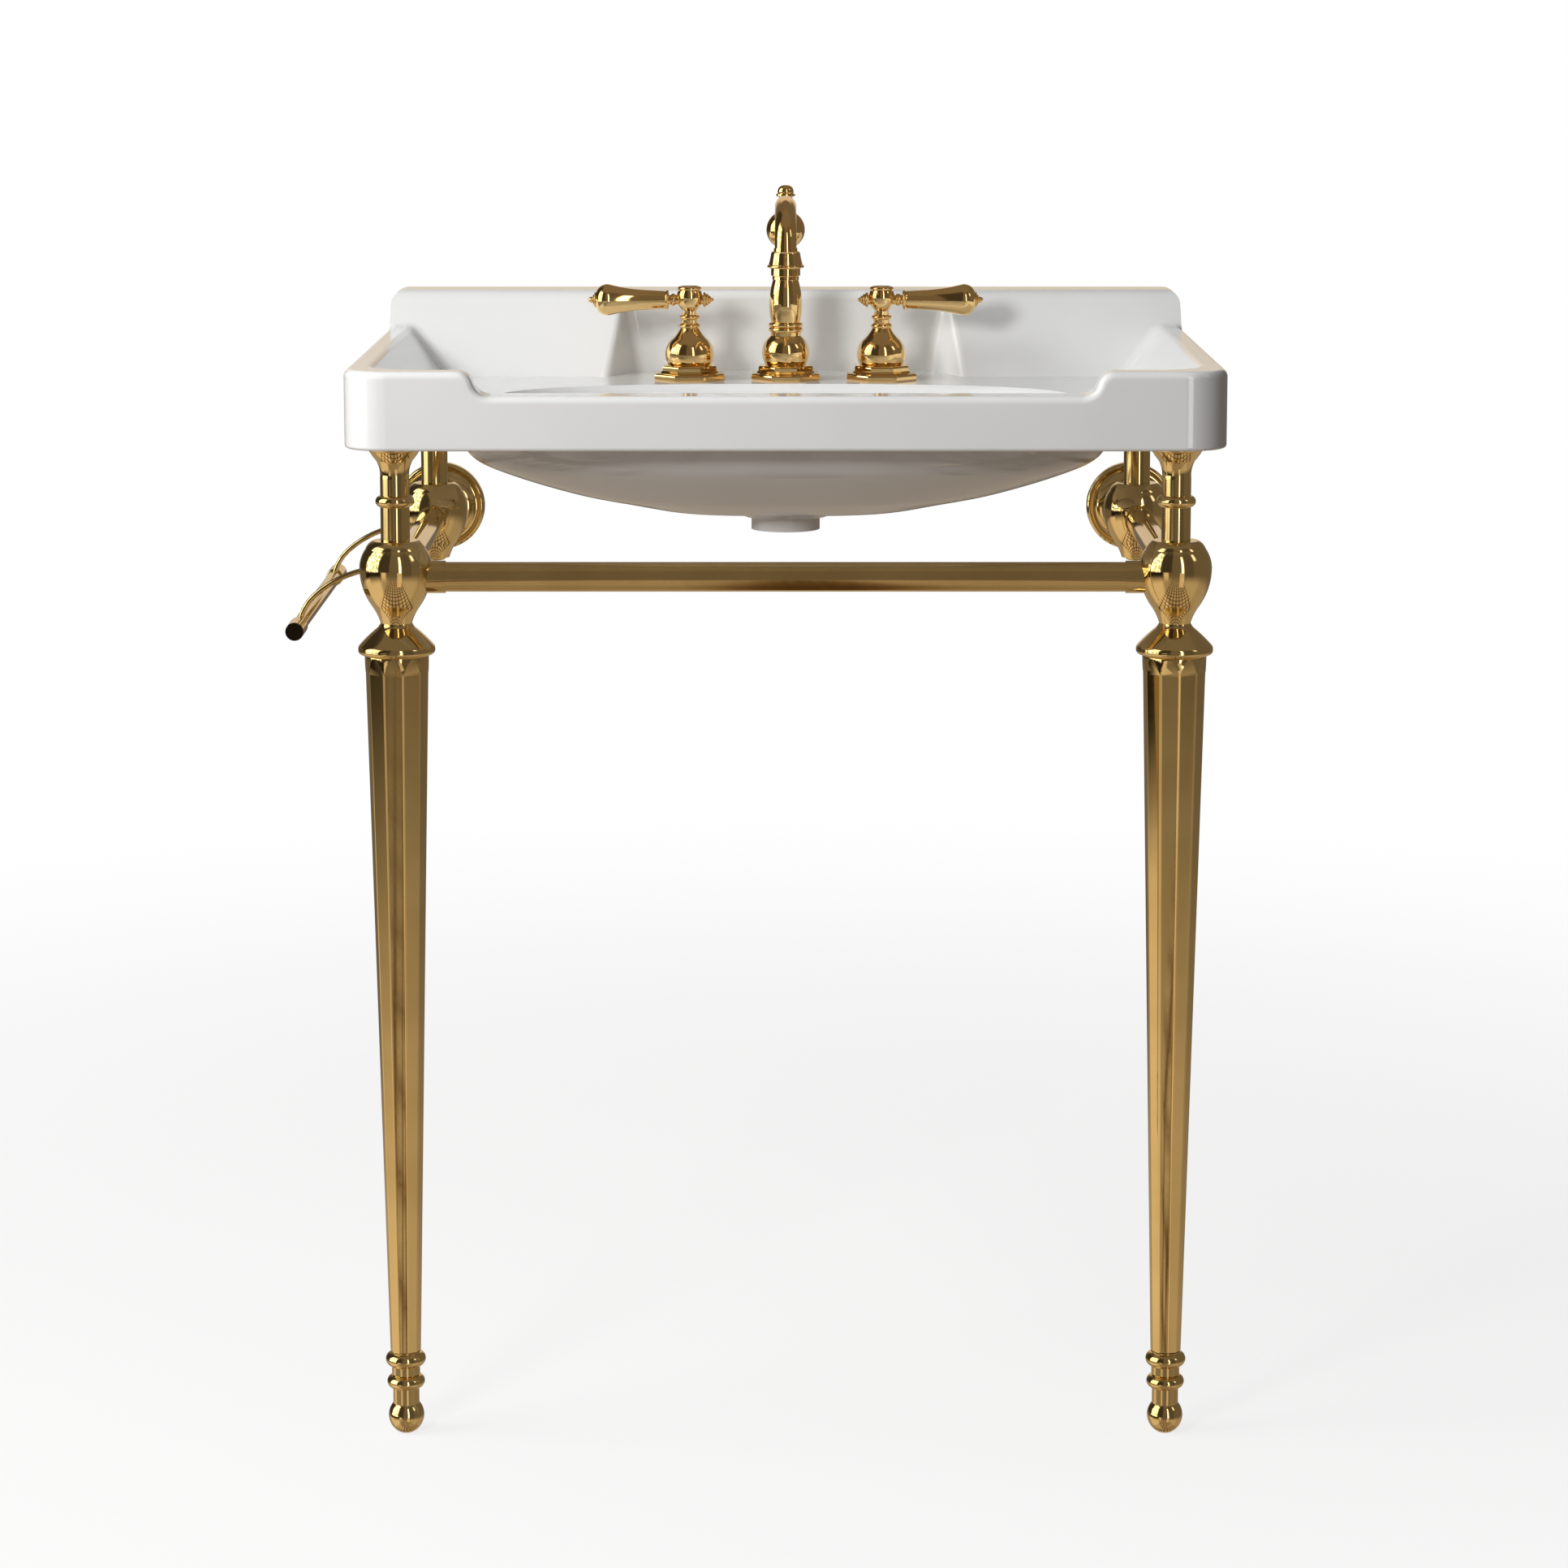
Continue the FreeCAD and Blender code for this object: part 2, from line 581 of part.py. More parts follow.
def write_frame():
    front_y, rear_y = depth(LEG_DEPTH), depth(REAR_DEPTH)
    rods, sleeves, caps, arms = [], [], [], towel_arms()
    for side, sign in SIDES.items():
        x = sign * LEG_X
        inward, back, forward = (-sign, 0.0), (0.0, 1.0), (0.0, -1.0)
        write(side + "_leg_foot", leg_foot(x, front_y))
        write(side + "_leg_shaft", leg_shaft(x, front_y, FACET_TURN[side]))
        write(side + "_leg_skirt", leg_skirt(x, front_y))
        front_urn = urn(x, front_y, [inward, back])
        write(side + "_leg_urn", front_urn)
        write(side + "_leg_column", leg_column(x, front_y))
        write(side + "_leg_cup", leg_cup(x, front_y))
        rear_urn = urn(x, rear_y, [forward, back])
        write(side + "_rear_urn", rear_urn)
        write(side + "_rear_post", rear_post(x, rear_y))
        write(side + "_wall_tube", rail((x, rear_y + SOCKET_START, RAIL_HEIGHT),
                                        (x, -PLATE_THICK, RAIL_HEIGHT)))
        write(side + "_wall_flange", wall_flange(x))
        write(side + "_wall_plate", wall_plate(x))
        side_rail = rail((x, front_y + SOCKET_START, RAIL_HEIGHT), (x, rear_y - SOCKET_START, RAIL_HEIGHT))
        if side == "left":
            side_rail = side_rail.cut(arms)
        write(side + "_side_rail", side_rail)
        cap = rear_end_cap(x, rear_y)
        rear_rod = rod(ROD_R, (x, rear_y, SKIRT_TOP), (x, rear_y, ROD_TOP))
        rods += [rod(ROD_R, (x, front_y, LEG_ROD_BOTTOM), (x, front_y, ROD_TOP)), rear_rod]
        caps.append(cap)
        sleeves += [sleeve(front_urn, x, front_y, inward), sleeve(front_urn, x, front_y, back),
                    sleeve(rear_urn, x, rear_y, forward)]
    reach = LEG_X - SOCKET_START
    write("front_rail", rail((-reach, front_y, RAIL_HEIGHT), (reach, front_y, RAIL_HEIGHT)))
    write("tie_rods", Part.makeCompound(rods))
    write("rail_sleeves", Part.makeCompound(sleeves))
    write("rear_end_caps", Part.makeCompound(caps))
    write("towel_bar_arms", Part.makeCompound(arms))
    write("towel_bar", towel_tube().cut(arms))
    write("towel_bar_caps", Part.makeCompound(towel_caps()))


# ---- towel bar ------------------------------------------------------------

def towel_arms():
    arms = []
    for distance in ARM_DEPTHS:
        start = (-ARM_START_X, depth(distance), RAIL_HEIGHT)
        bend_r, bend_angle = ARM_BEND
        drop_r, drop_end = ARM_DROP
        bends = [(bend_r, bend_angle), (drop_r, drop_end - bend_angle)]
        arm, _, _ = swept(ARM_R, start, (-1.0, 0.0, 0.0), bends, V(0, -1, 0))
        arms.append(arm)
    return arms


def towel_tube():
    start = (-TOWEL_X, depth(TOWEL_FRONT), TOWEL_HEIGHT)
    end = (-TOWEL_X, depth(TOWEL_BACK), TOWEL_HEIGHT)
    return rod(TOWEL_R, start, end).cut(rod(TOWEL_R - TUBE_WALL, start, end))


def towel_caps():
    """Long caps over the tube's ends."""
    caps = []
    edge, thick = TOWEL_CAP_R, TOWEL_CAP_THICK
    steps = [(edge - 0.9, -CAP_SLEEVE), (edge, 1.4 - CAP_SLEEVE, edge - 0.3, 0.5 - CAP_SLEEVE),
             (edge, thick - 0.8), (edge - 0.8, thick, edge - 0.23, thick - 0.23)]
    for distance, way in ((TOWEL_FRONT, -1), (TOWEL_BACK, 1)):
        y = depth(distance)
        cap = turned(steps, (-TOWEL_X, y, TOWEL_HEIGHT), (0, way, 0))
        room = rod(TOWEL_R + SLIDE_GAP, (-TOWEL_X, y - way * (CAP_SLEEVE + 1.0), TOWEL_HEIGHT),
                   (-TOWEL_X, y, TOWEL_HEIGHT))
        caps.append(cap.cut(room))
    return caps


# ---- taps -----------------------------------------------------------------

def rounded_edge(radius, height, size):
    """Steps round an outer edge, from its side to its top."""
    turns = [math.radians(30.0 * index) for index in range(4)]
    return [(radius - size * (1.0 - math.cos(turn)), height + size * math.sin(turn)) for turn in turns]


def deck_flange(x, sizes):
    """Eight-sided foot in two steps with rounded edges."""
    y = depth(TAP_DEPTH)
    foot_r, step_r = sizes
    foot_steps = [(foot_r - 0.7, DECK), (foot_r, DECK + 1.2)]
    foot_steps += rounded_edge(foot_r, FLANGE_EDGE, FLANGE_ROUND)
    foot_steps += [(step_r + 1.8, FLANGE_EDGE + FLANGE_ROUND + 0.6), (step_r + 0.6, FLANGE_SLOPE_TOP)]
    step_steps = [(step_r, FLANGE_SLOPE_TOP)] + rounded_edge(step_r, STEP_TOP - STEP_ROUND, STEP_ROUND)
    foot = stacked(OCTAGON, foot_steps, x, y)
    step = stacked(OCTAGON, step_steps, x, y)
    hole = rod(SHANK_R + SLIDE_GAP, (x, y, DECK - 1.0), (x, y, STEP_TOP + 1.0))
    return foot.fuse(step).cut(hole).removeSplitter()


def tap_bell(x):
    """Bell-shaped body with a ringed neck."""
    steps = [(19.2, STEP_TOP), (21.9, 881.4, 21.5, 875.0), (16.1, 893.0, 19.9, 888.0),
             (8.2, 903.2, 11.0, 898.6), (8.2, 906.8, 9.6, 905.0), (7.3, 907.6), (7.3, 910.6),
             (8.0, 911.2), (8.0, 914.6, 9.2, 912.9),
             (6.6, 915.2), (6.6, NECK_TOP)]
    y = depth(TAP_DEPTH)
    body = turned(steps, (x, y, 0), bore=SPINDLE_R + SLIDE_GAP)
    return body.cut(rod(SHANK_R + SLIDE_GAP, (x, y, STEP_TOP - 1.0), (x, y, SHANK_TOP)))


def shank(x, top, bore_top):
    """Threaded tail through the deck, open to the supply pipe below."""
    y = depth(TAP_DEPTH)
    nut_bottom = UNDERSIDE - WASHER[1] - NUT[1]
    steps = [(TAIL_R, SHANK_BOTTOM), (TAIL_R, nut_bottom), (SHANK_R, nut_bottom), (SHANK_R, top)]
    return turned(steps, (x, y, 0)).cut(rod(SHANK_BORE_R, (x, y, SHANK_BOTTOM - 1.0), (x, y, bore_top)))


def tap_shank(x):
    y = depth(TAP_DEPTH)
    body = shank(x, SHANK_TOP, SPINDLE_BOTTOM - 6.0)
    return body.cut(rod(SPINDLE_R + SLIDE_GAP, (x, y, SPINDLE_BOTTOM - 1.0), (x, y, SHANK_TOP + 1.0)))


def handle_hub(x):
    """Ball that carries the lever, narrow at the bottom and wide at the flat top."""
    cut_r = math.sqrt(LEVER_HUB_R ** 2 - LEVER_HUB_CUT ** 2)
    bottom = LEVER_HEIGHT - LEVER_HUB_CUT
    steps = [(cut_r, bottom), LEVER_HUB_TOP + (LEVER_HUB_R, LEVER_HEIGHT)]
    y = depth(TAP_DEPTH)
    body = turned(steps, (x, y, 0))
    way = -1.0 if x < 0 else 1.0
    return body.cut([rod(SPINDLE_R, (x, y, bottom - 1.0), (x, y, SPINDLE_TOP)),
                     rod(LEVER_SOCKET_R, (x + 5.5 * way, y, LEVER_HEIGHT),
                         (x + 15.0 * way, y, LEVER_HEIGHT))])


def lever(x, hub):
    """Drop-shaped lever that points away from the spout."""
    way = -1.0 if x < 0 else 1.0
    steps = [(LEVER_SOCKET_R, 5.5), (LEVER_SOCKET_R, 8.0), (4.4, 8.0), (4.4, 12.6),
             (4.4, 16.8, 5.7, 14.7),
             (4.4, 18.4), (7.2, 18.6), (7.6, 21.6, 8.8, 20.1), (8.0, 22.4), (9.2, 43.0),
             (13.9, 71.5, 11.0, 57.8), (9.0, 82.6, 13.1, 78.4), (6.4, 84.2), (6.4, 85.2, 6.8, 84.7),
             (4.2, 85.6), (4.2, 86.6, 4.6, 86.1), (2.3, 87.0), (2.6, 88.6, 2.9, 87.8), (0.3, 91.0, 1.7, 90.3),
             (0.0, 91.0)]
    body = turned(steps, (x, depth(TAP_DEPTH), LEVER_HEIGHT), (way, 0, 0))
    return body.cut(hub)


def handle_finial(x, hub):
    """Small end opposite the lever that steps down in rings to a point."""
    way = 1.0 if x < 0 else -1.0
    steps = [(4.4, 8.0), (4.4, 12.0), (6.3, 12.3), (6.3, 14.4, 6.8, 13.3), (4.9, 14.9),
             (4.9, 16.7, 5.4, 15.8), (3.4, 17.1), (3.4, 18.7, 3.8, 17.9), (2.0, 19.1),
             (0.3, 21.7, 1.5, 20.8), (0.0, 21.7)]
    return turned(steps, (x, depth(TAP_DEPTH), LEVER_HEIGHT), (way, 0, 0)).cut(hub)


def index_cap(x):
    """Flat disc with a rim that closes the top of the hub."""
    hub_r, top = LEVER_HUB_TOP
    steps = [(hub_r - 0.9, top), (hub_r - 0.9, top + 0.7), (hub_r - 0.1, top + 1.1),
             (hub_r - 0.1, top + 3.1, hub_r + 0.3, top + 2.1),
             (hub_r - 1.6, top + 4.1, hub_r - 0.7, top + 3.8),
             (hub_r - 2.4, top + 4.1), (hub_r - 2.9, top + 3.6)]
    return turned(steps, (x, depth(TAP_DEPTH), 0))


def write_taps():
    y = depth(TAP_DEPTH)
    for side, sign in SIDES.items():
        x = sign * TAP_X
        write(side + "_tap_flange", deck_flange(x, TAP_FLANGE))
        write(side + "_tap_bell", tap_bell(x))
        write(side + "_tap_shank", tap_shank(x))
        write(side + "_tap_spindle", rod(SPINDLE_R, (x, y, SPINDLE_BOTTOM), (x, y, SPINDLE_TOP)))
        hub = handle_hub(x)
        write(side + "_handle_hub", hub)
        write(side + "_handle_lever", lever(x, hub))
        write(side + "_handle_finial", handle_finial(x, hub))
        write(side + "_index_cap", index_cap(x))
    washers, nuts = [], []
    washer_r, washer_thick = WASHER
    nut_flat, nut_thick = NUT
    for x in (-TAP_X, 0.0, TAP_X):
        low = UNDERSIDE - washer_thick
        washers.append(turned([(washer_r, low), (washer_r, UNDERSIDE)], (x, y, 0), bore=SHANK_R + SLIDE_GAP))
        nut = stacked(6, [(nut_flat, low - nut_thick), (nut_flat, low)], x, y)
        nuts.append(nut.cut(rod(SHANK_R + SLIDE_GAP, (x, y, low - 20.0), (x, y, low + 1.0))))
    write("deck_washers", Part.makeCompound(washers))
    write("deck_locknuts", Part.makeCompound(nuts))


# ---- spout ----------------------------------------------------------------

def spout_base():
    steps = [(17.8, STEP_TOP), (14.4, 895.5, 21.2, 880.0), (13.7, 896.4), (13.7, 899.4),
             (13.9, 904.0, 15.5, 901.8), (13.2, BARREL_FOOT, 15.4, 906.1)]
    body = turned(steps, (0, depth(TAP_DEPTH), 0), bore=SPOUT_PIN_R + SLIDE_GAP)
    y = depth(TAP_DEPTH)
    return body.cut(rod(SHANK_R + SLIDE_GAP, (0, y, STEP_TOP - 1.0), (0, y, SHANK_TOP)))


def spout_barrel():
    steps = [(12.9, BARREL_FOOT), (11.3, BARREL_TOP, 14.6, 925.5)]
    return turned(steps, (0, depth(TAP_DEPTH), 0), bore=SPOUT_PIN_R + SLIDE_GAP)


def spout_collar():
    """Ring nut that the spout turns on."""
    steps = [(11.9, BARREL_TOP), (11.9, 949.6), (13.1, 950.2), (13.1, 956.6), (16.4, 957.6, 14.9, 956.8),
             (15.2, 959.8, 16.3, 959.0), (13.2, 968.8, 14.3, 963.4), (10.7, COLLAR_TOP, 12.3, 971.2)]
    return turned(steps, (0, depth(TAP_DEPTH), 0), bore=SPOUT_PIN_R + SLIDE_GAP)


def spout_pin():
    """Fixed tube that feeds the spout and that it swivels on."""
    y = depth(TAP_DEPTH)
    return turned([(SPOUT_PIN_R, SHANK_TOP), (SPOUT_PIN_R, SPOUT_PIN_TOP)], (0, y, 0), bore=SPOUT_WATER_R)


def spout_shank():
    y = depth(TAP_DEPTH)
    body = shank(0.0, SHANK_TOP, SHANK_TOP - 6.0)
    body = body.cut(rod(SPOUT_WATER_R, (0, y, SHANK_TOP - 7.0), (0, y, SHANK_TOP + 1.0)))
    return body.fuse(spout_pin()).removeSplitter()


def spout_tube(radius):
    """Arched tube: it leaves the ball rising, passes the crown and ends downwards."""
    rise = math.radians(TUBE_RISE)
    y = depth(TAP_DEPTH)
    start = (0.0, y - TUBE_START * math.cos(rise), BALL_HEIGHT + 2.0 + TUBE_START * math.sin(rise))
    return swept(radius, start, (0.0, -math.cos(rise), math.sin(rise)), TUBE_BENDS, V(1, 0, 0))


def spout_hub(tube):
    y = depth(TAP_DEPTH)
    low, high = COLLAR_TOP + HUB_GAP, BALL_HEIGHT + math.sqrt(BALL_R ** 2 - FINIAL_NECK_R ** 2)
    join = BALL_HEIGHT - math.sqrt(BALL_R ** 2 - BALL_NECK_R ** 2)
    steps = [(BALL_NECK_R, low), (BALL_NECK_R, join), (FINIAL_NECK_R, high, BALL_R, BALL_HEIGHT),
             (FINIAL_NECK_R, FINIAL_FOOT)]
    body = turned(steps, (0, y, 0))
    socket = rod(SPOUT_PIN_R + SLIDE_GAP, (0, y, low - 1.0), (0, y, SPOUT_PIN_TOP + 0.6))
    return body.cut([tube, socket])


def spout_finial():
    steps = [(7.0, FINIAL_FOOT), (8.5, 1021.4), (8.5, 1022.8), (7.0, 1023.6), (0.01, 1030.6, 5.9, 1028.6),
             (0.0, 1030.6)]
    return turned(steps, (0, depth(TAP_DEPTH), 0))


def aerator(outlet, heading):
    """Ring in the spout's mouth."""
    rim_r, length = AERATOR
    spigot = TUBE_BORE_R - 0.4
    steps = [(spigot, -2.5), (spigot, 0.0), (rim_r, 0.0), (rim_r, length - 0.8), (rim_r - 0.8, length)]
    return turned(steps, tuple(outlet), tuple(heading), bore=5.6)


def write_spout():
    write("spout_flange", deck_flange(0.0, SPOUT_FLANGE))
    write("spout_base", spout_base())
    write("spout_barrel", spout_barrel())
    write("spout_collar", spout_collar())
    write("spout_shank", spout_shank())
    outer, outlet, heading = spout_tube(TUBE_R)
    inner, _, _ = spout_tube(TUBE_BORE_R)
    write("spout_hub", spout_hub(outer))
    y = depth(TAP_DEPTH)
    pin_room = rod(SPOUT_PIN_R + 0.4, (0, y, COLLAR_TOP), (0, y, SPOUT_PIN_TOP + 1.0))
    write("spout_tube", outer.cut([inner, pin_room]))
    write("spout_aerator", aerator(outlet, heading))
    write("spout_finial", spout_finial())
    print("spout outlet", [round(value, 1) for value in outlet], "heading", heading)


os.makedirs("parts", exist_ok=True)
write("basin", basin())
write_frame()
write_taps()
write_spout()
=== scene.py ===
import json
import math

import bpy
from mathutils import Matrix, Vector

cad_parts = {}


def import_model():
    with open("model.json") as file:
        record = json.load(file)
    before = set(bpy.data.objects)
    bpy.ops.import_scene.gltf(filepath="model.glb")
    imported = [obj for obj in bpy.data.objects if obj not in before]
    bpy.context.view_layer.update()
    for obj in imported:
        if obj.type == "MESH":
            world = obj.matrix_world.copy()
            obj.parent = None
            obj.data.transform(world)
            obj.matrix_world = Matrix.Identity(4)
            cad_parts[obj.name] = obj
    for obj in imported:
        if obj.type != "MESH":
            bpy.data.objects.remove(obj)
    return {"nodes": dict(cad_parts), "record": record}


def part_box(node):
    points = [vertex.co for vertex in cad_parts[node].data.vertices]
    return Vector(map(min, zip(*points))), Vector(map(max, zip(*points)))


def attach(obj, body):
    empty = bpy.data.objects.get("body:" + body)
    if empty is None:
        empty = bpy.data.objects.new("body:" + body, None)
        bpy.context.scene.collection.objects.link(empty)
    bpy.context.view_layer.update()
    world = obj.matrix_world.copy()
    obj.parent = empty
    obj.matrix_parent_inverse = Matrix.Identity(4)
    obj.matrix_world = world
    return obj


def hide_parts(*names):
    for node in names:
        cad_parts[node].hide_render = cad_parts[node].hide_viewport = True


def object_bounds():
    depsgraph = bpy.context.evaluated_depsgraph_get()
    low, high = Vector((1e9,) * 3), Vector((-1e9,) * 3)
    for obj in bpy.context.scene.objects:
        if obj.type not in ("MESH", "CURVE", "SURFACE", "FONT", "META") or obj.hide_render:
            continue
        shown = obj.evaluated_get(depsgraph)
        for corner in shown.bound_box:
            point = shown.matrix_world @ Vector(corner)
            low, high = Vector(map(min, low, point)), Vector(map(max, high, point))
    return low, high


# Looks for a console sink: white glazed basin, antique brass legs and rails, gold taps.
# Metres, in the frame's own axes: +X right, +Y into the wall, +Z up.

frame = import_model()
CAD_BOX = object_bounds()

FLOOR = CAD_BOX[0].z
BASIN_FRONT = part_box("basin")[0].y

# Camera: a long lens well in front, a little above the basin, tipped down.  The eye is in metres, the
# sensor in millimetres, the shift a share of the frame, and the rest in pixels of the photo.
PHOTO_PIXELS = 1932.0
FOCAL_PIXELS = 5400.0
SENSOR = 36.0
EYE_HEIGHT = 1.2252
EYE_DISTANCE = 3.563
HORIZON_ROW = -35.0
CENTRE_COLUMN = 968.0
SHIFT = -0.11
VIEW_LIMIT = 60.0

# Base colours
GLAZE = (0.875, 0.878, 0.870)
GLAZE_POOLED = (0.845, 0.850, 0.845)
LEG_BRASS = (0.80, 0.605, 0.285)
LEG_BRASS_DARK = (0.72, 0.535, 0.240)
TAP_BRASS = (0.94, 0.66, 0.30)
TAP_BRASS_DARK = (0.88, 0.59, 0.245)
MACHINED_BRASS = (0.62, 0.46, 0.21)
ZINC = (0.56, 0.56, 0.55)
DARK_BRONZE = (0.050, 0.038, 0.024)
RUBBER = (0.030, 0.030, 0.032)
RUBBER_WORN = (0.045, 0.044, 0.043)
FLOOR_PAINT = (0.36, 0.315, 0.28)
FLOOR_SEEN = (0.84, 0.83, 0.82)
WHITE = (1.0, 1.0, 1.0)

# Dark disc in the front end of the towel bar
DISC_THICK = 0.0008

# Towel bar arms: where they leave the rail, their radius, and their two bends, each with its own radius
# and its turn in degrees
ARM_START_X = -0.3324
ARM_R = 0.0023
ARM_BENDS = ((0.090, 42.0), (0.0409, 36.0))
ARM_STEP = 1.5

# Soft edges of the leg shafts: their width, and angles in degrees
SHAFT_EDGE = 0.0028
SHARP_ANGLE = 30.0
FLAT_ANGLE = 0.2
SMOOTH_ANGLE = 16.0
SAME_POINT = 1e-6

# Lamps: name, place, width and height, watts
LAMPS = (("key", (-1.00, -2.20, 0.66), (0.45, 0.45), 22.5),
         ("left", (-2.4, -0.9, 0.7), (1.2, 1.6), 10.0),
         ("top", (-2.0, -0.8, 1.6), (1.5, 1.1), 36.0))
LAMP_AIM = (0.0, -0.4, 0.0)

# Soft light from all round, more of it from the left than from the right
AMBIENT = 0.26
AMBIENT_LEFT = 1.20
AMBIENT_FALL = 0.85

# The room that the brass reflects.  A patch is given by its left, right, lower and upper edge in degrees,
# seen from the sink: 0 across is towards the camera, 90 across is to the right, and 0 up is level.
WINDOW = (-102.0, -54.0, -7.0, 48.0)
SMALL_WINDOW = (62.0, 72.0, 24.0, 42.0)
BRIGHT_STRIP = (15.0, 22.0, -9.0, 44.0)
STRIP_FOOT = (9.0, 24.0, -34.0, -9.0)
LIT_WALL = (-42.0, -27.0, -40.0, -8.0)
DARK_WALLS = ((0.11, (-52.0, -16.0, -7.0, 60.0)), (0.12, (-148.0, -100.0, -7.0, 60.0)),
              (0.15, (-106.0, -46.0, -40.0, -7.0)), (0.05, (26.0, 56.0, -60.0, 60.0)))
FLOOR_BY_WINDOW = (-116.0, -46.0, -90.0, 0.0)
FLOOR_RIGHT = (30.0, 80.0, -90.0, 0.0)
BEHIND_BASIN = (-181.0, 181.0, -2.5, 30.0)

# How bright the parts of that room are
WINDOW_LIGHT = 4.2
SMALL_WINDOW_LIGHT = 1.6
STRIP_LIGHT = 3.2
STRIP_FOOT_SHARE = 0.16
WALL_LEVEL = 0.17
LIT_WALL_GAIN = 0.70
CEILING_GAIN = 0.04
FLOOR_LEVEL = 0.44
FLOOR_WINDOW_GAIN = 0.40
FLOOR_RIGHT_GAIN = 0.10
SINK_SHADOW = 0.20
RUG_GAIN = 0.15
JOINT_LOSS = 0.80
BEHIND_LEVEL = 0.55
TILES_PER_HEIGHT = 5.5
WARM_WALL = (1.0, 0.83, 0.63)
TILE_JOINT = (1.0, 0.55, 0.25)
LEAF_GREEN = (0.62, 0.74, 0.50)
DAYLIGHT = (1.0, 1.0, 0.97)


# ---- shader tools ---------------------------------------------------------

class Value:
    """A socket of a node tree that can be added, multiplied and so on."""

    def __init__(self, tree, socket):
        self.tree = tree
        self.socket = socket

    def math(self, operation, *others):
        node = self.tree.nodes.new("ShaderNodeMath")
        node.operation = operation
        for index, item in enumerate((self,) + others):
            plug(self.tree, node.inputs[index], item)
        return Value(self.tree, node.outputs[0])

    def __add__(self, other):
        return self.math("ADD", other)

    def __mul__(self, other):
        return self.math("MULTIPLY", other)

    __radd__ = __add__
    __rmul__ = __mul__

    def __sub__(self, other):
        return self.math("SUBTRACT", other)

    def __rsub__(self, other):
        return (self * -1.0) + other

    def __truediv__(self, other):
        return self.math("DIVIDE", other)

    def smooth(self, low, high):
        """0 below low, 1 above high, and a soft step between."""
        node = self.tree.nodes.new("ShaderNodeMapRange")
        node.interpolation_type = "SMOOTHSTEP"
        plug(self.tree, node.inputs["Value"], self)
        node.inputs["From Min"].default_value = low
        node.inputs["From Max"].default_value = high
        return Value(self.tree, node.outputs["Result"])


def plug(tree, target, item):
    """Link a Value into a socket, or set the socket to a number or colour."""
    if isinstance(item, Value):
        tree.links.new(item.socket, target)
    elif isinstance(item, (tuple, list)) and len(item) == 3 and target.type == "RGBA":
        target.default_value = (*item, 1.0)
    else:
        target.default_value = item


class Tree:
    """Builds nodes in a material or world."""

    def __init__(self, owner):
        owner.use_nodes = True
        self.tree = owner.node_tree
        self.tree.nodes.clear()

    def add(self, kind, settings=None, output=0, **inputs):
        """A node with its settings made first, then its inputs, by name with _ for a space."""
        node = self.tree.nodes.new("ShaderNode" + kind)
        for name, value in (settings or {}).items():
            setattr(node, name, value)
        for name, value in inputs.items():
            key = int(name[1:]) if name[0] == "_" else name.replace("_", " ")
            plug(self.tree, node.inputs[key], value)
        return Value(self.tree, node.outputs[output])

    def place(self):
        return self.add("TexCoord", output="Object")

    def cloud(self, where, scale, detail=2.0, roughness=0.5):
        """Noise from 0 to 1."""
        return self.add("TexNoise", output="Fac", Vector=where, Scale=scale, Detail=detail,
                        Roughness=roughness)

    def blend(self, factor, first, second):
        """Mix of two colours."""
        node = self.tree.nodes.new("ShaderNodeMix")
        node.data_type = "RGBA"
        plug(self.tree, node.inputs["Factor"], factor)
        plug(self.tree, node.inputs[6], first)
        plug(self.tree, node.inputs[7], second)
        return Value(self.tree, node.outputs[2])

    def bump(self, height, strength, distance):
        return self.add("Bump", Height=height, Strength=strength, Distance=distance)


def surface(tree, colour, rough, normal=None, metal=0.0, coat=0.0):
    """Close a material's tree with its shader."""
    shader = tree.tree.nodes.new("ShaderNodeBsdfPrincipled")
    plug(tree.tree, shader.inputs["Base Color"], colour)
    plug(tree.tree, shader.inputs["Roughness"], rough)
    shader.inputs["Metallic"].default_value = metal
    shader.inputs["Coat Weight"].default_value = coat
    if normal is not None:
        plug(tree.tree, shader.inputs["Normal"], normal)
    out = tree.tree.nodes.new("ShaderNodeOutputMaterial")
    tree.tree.links.new(shader.outputs[0], out.inputs[0])


# ---- materials ------------------------------------------------------------

def glazed_white():
    """White vitreous glaze: almost even, with a faint ripple."""
    material = bpy.data.materials.new("white_glaze")
    tree = Tree(material)
    where = tree.place()
    pooling = tree.cloud(where, 7.0)
    ripple = tree.cloud(where, 9.0, detail=0.0)
    colour = tree.blend(pooling.smooth(0.3, 0.7), GLAZE, GLAZE_POOLED)
    rough = 0.055 + 0.02 * tree.cloud(where, 4.0, detail=0.0)
    surface(tree, colour, rough, tree.bump(ripple, 0.02, 0.001), coat=0.3)
    return material


def polished(name, light, dark, rough, haze):
    """Polished brass: slow changes of tone, faint wiping marks and a slight swell."""
    material = bpy.data.materials.new(name)
    tree = Tree(material)
    where = tree.place()
    tone = tree.cloud(where, 14.0, detail=3.0)
    wiping = tree.cloud(where, 140.0, detail=2.0)
    swell = tree.cloud(where, 30.0, detail=1.0)
    colour = tree.blend(tone.smooth(0.32, 0.68), light, dark)
    roughness = rough + haze * wiping
    surface(tree, colour, roughness, tree.bump(swell, 0.03, 0.0004), metal=1.0)
    return material


